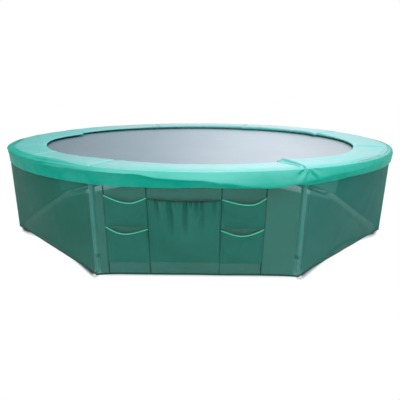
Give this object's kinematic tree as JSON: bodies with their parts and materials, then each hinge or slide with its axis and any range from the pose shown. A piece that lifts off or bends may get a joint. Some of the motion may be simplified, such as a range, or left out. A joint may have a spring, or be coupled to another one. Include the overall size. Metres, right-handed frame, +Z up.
{
  "type": "garden trampoline",
  "caption": "Round garden trampoline on posts, with a padded edge and a mesh skirt that has storage pockets.",
  "frame": {"origin": "on the floor under the middle of the mat", "axes": "+Z up; -Y towards the panel with the pockets; +X to the right of a person who looks at that panel"},
  "size_m": [4.2992, 4.2992, 0.964],
  "materials": {
    "galvanised_steel": "galvanised, satin",
    "dark_plastic": "matt dark plastic",
    "zinc_screws": "zinc plated",
    "spring_steel": "galvanised wire",
    "mat_weave": "close woven, slight sheen",
    "black_webbing": "heavy webbing",
    "pad_cover": "coated cloth, satin",
    "flap_cover": "coated cloth, satin",
    "skirt_mesh": "open mesh",
    "pocket_cloth": "thin woven cloth",
    "mint_binding": "folded tape",
    "dark_elastic": "gathered elastic"
  },
  "bodies": {
    "frame": {"rail_front": "galvanised_steel", "rail_front_right": "galvanised_steel", "rail_right": "galvanised_steel", "rail_back_right": "galvanised_steel", "rail_back": "galvanised_steel", "rail_back_left": "galvanised_steel", "rail_left": "galvanised_steel", "rail_front_left": "galvanised_steel", "leg_sockets": "galvanised_steel", "leg_post_1": "galvanised_steel", "leg_post_2": "galvanised_steel", "leg_post_3": "galvanised_steel", "leg_post_4": "galvanised_steel", "leg_post_5": "galvanised_steel", "leg_post_6": "galvanised_steel", "leg_post_7": "galvanised_steel", "leg_post_8": "galvanised_steel", "leg_base_front_right": "galvanised_steel", "leg_base_back_right": "galvanised_steel", "leg_base_back_left": "galvanised_steel", "leg_base_front_left": "galvanised_steel", "leg_collars": "dark_plastic", "leg_screws": "zinc_screws", "springs": "spring_steel", "pad_front": "pad_cover", "pad_front_right": "pad_cover", "pad_right": "pad_cover", "pad_back_right": "pad_cover", "pad_back": "pad_cover", "pad_back_left": "pad_cover", "pad_left": "pad_cover", "pad_front_left": "pad_cover", "flap_front": "flap_cover", "flap_front_right": "flap_cover", "flap_right": "flap_cover", "flap_back_right": "flap_cover", "flap_back": "flap_cover", "flap_back_left": "flap_cover", "flap_left": "flap_cover", "flap_front_left": "flap_cover", "skirt_front": "skirt_mesh", "skirt_front_right": "skirt_mesh", "skirt_right": "skirt_mesh", "skirt_back_right": "skirt_mesh", "skirt_back": "skirt_mesh", "skirt_back_left": "skirt_mesh", "skirt_left": "skirt_mesh", "skirt_front_left": "skirt_mesh", "pocket_upper_left": "pocket_cloth", "pocket_lower_left": "pocket_cloth", "pocket_upper_right": "pocket_cloth", "pocket_lower_right": "pocket_cloth", "pocket_bag": "pocket_cloth", "pocket_bindings": "mint_binding", "bag_elastic": "dark_elastic"},
    "mat": {"mat_bed": "mat_weave", "mat_hem": "black_webbing", "v_rings": "spring_steel"}
  },
  "joints": [
    {"name": "mat_bounce", "type": "slide", "parent": "frame", "child": "mat", "axis": [0, 0, -1], "range_m": [0, 0.4], "stiffness_N_per_m": 5000, "springref_m": -0.03, "deforming": ["springs"]}
  ]
}
